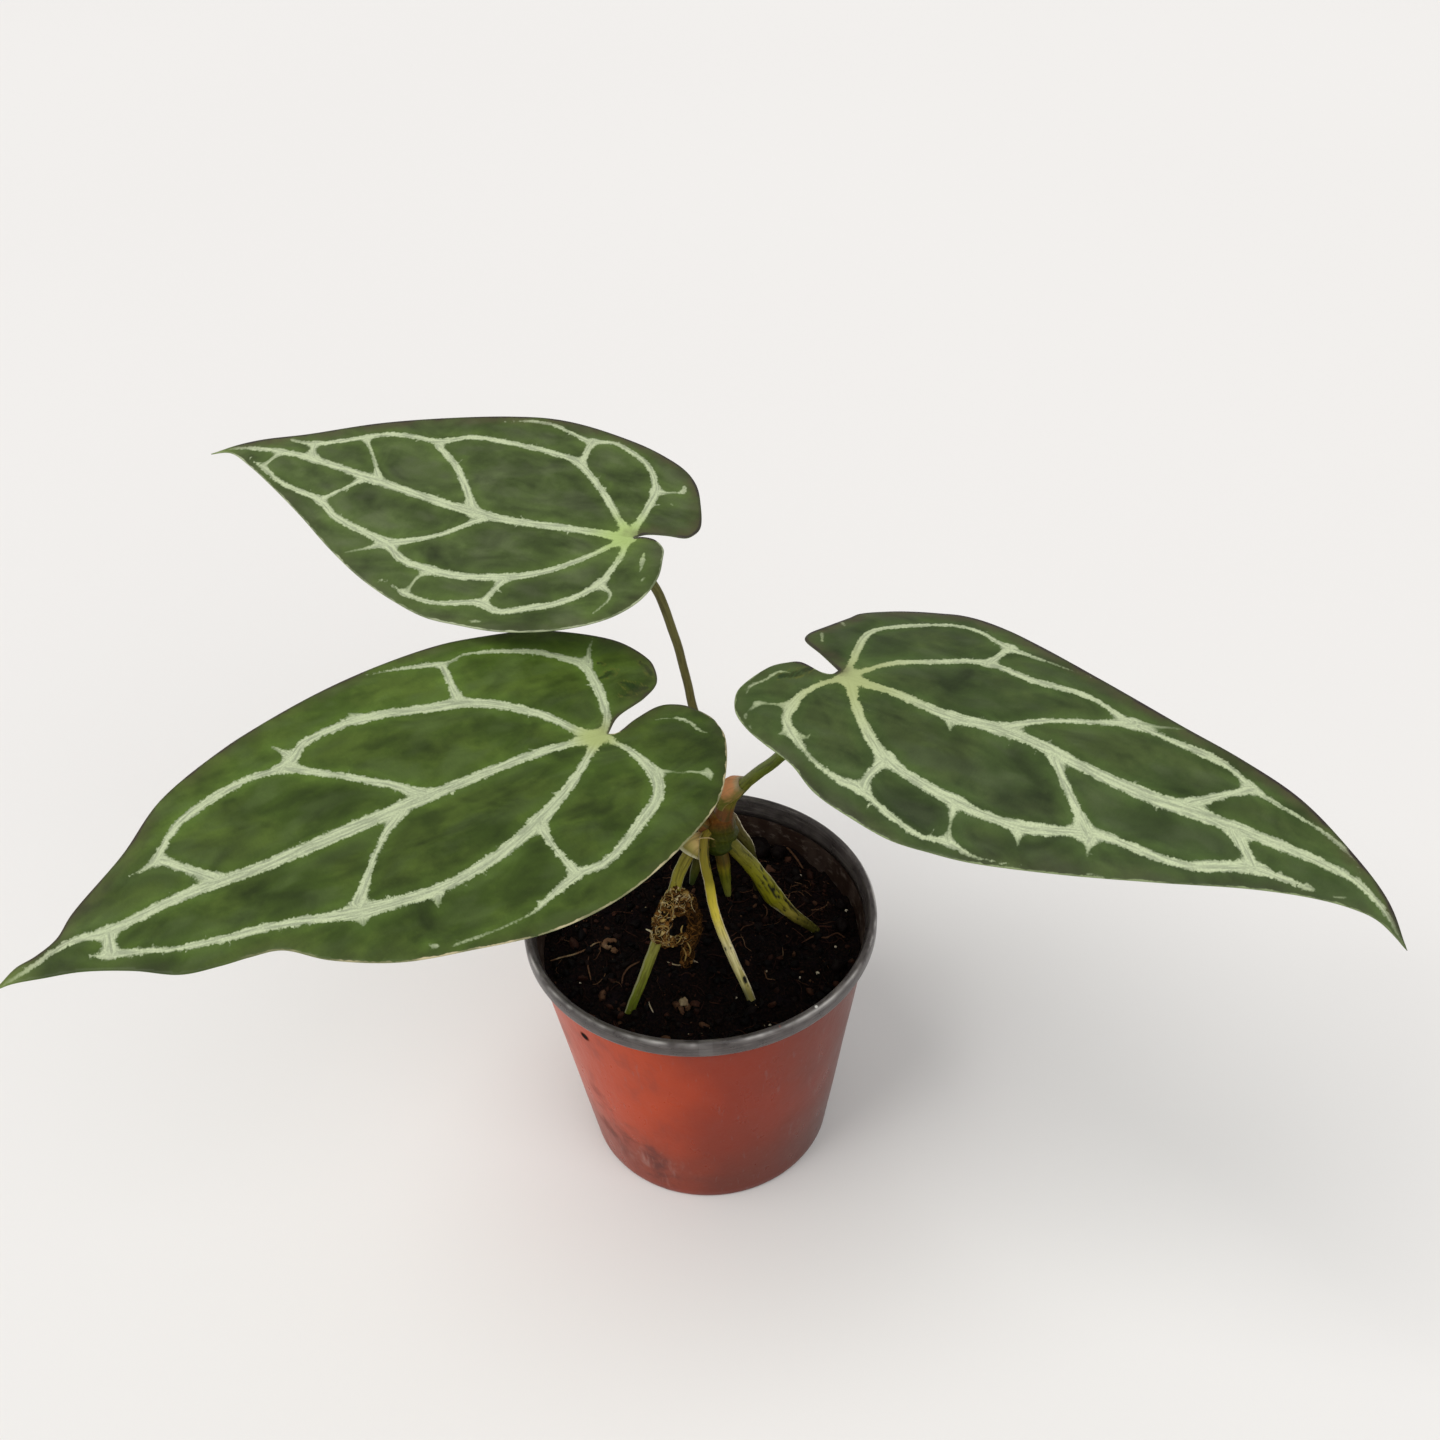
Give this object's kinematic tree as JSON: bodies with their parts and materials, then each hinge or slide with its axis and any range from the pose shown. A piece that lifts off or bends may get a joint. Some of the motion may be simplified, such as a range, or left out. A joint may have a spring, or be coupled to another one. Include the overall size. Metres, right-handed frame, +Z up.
{
  "type": "potted crystal anthurium",
  "caption": "Young foliage plant with heart-shaped leaves and a raised pale vein net on slender petioles, standing on stilt roots in a small thin-walled nursery pot of peat",
  "frame": {"origin": "centre of the pot's underside, on the surface that the pot stands on", "axes": "+Z up; the picture looks along +Y and down, with two leaves reaching to -X and one to +X"},
  "size_m": [0.2601, 0.1702, 0.1843],
  "materials": {
    "pot": "satin",
    "soil": "matte",
    "stem": "satin",
    "petiole": "satin",
    "blade": "satin",
    "root": "satin",
    "sheath": "matte",
    "fibre": "matte"
  },
  "bodies": {
    "root": {"pot": "pot", "soil": "soil", "stem": "stem", "petiole_back_left": "petiole", "petiole_front_left": "petiole", "petiole_right": "petiole", "blade_back_left": "blade", "blade_front_left": "blade", "blade_right": "blade", "root_left": "root", "root_center": "root", "root_right": "root", "root_back": "root", "sheath_right": "sheath", "sheath_left": "sheath", "fibre_mat": "fibre"}
  },
  "joints": []
}
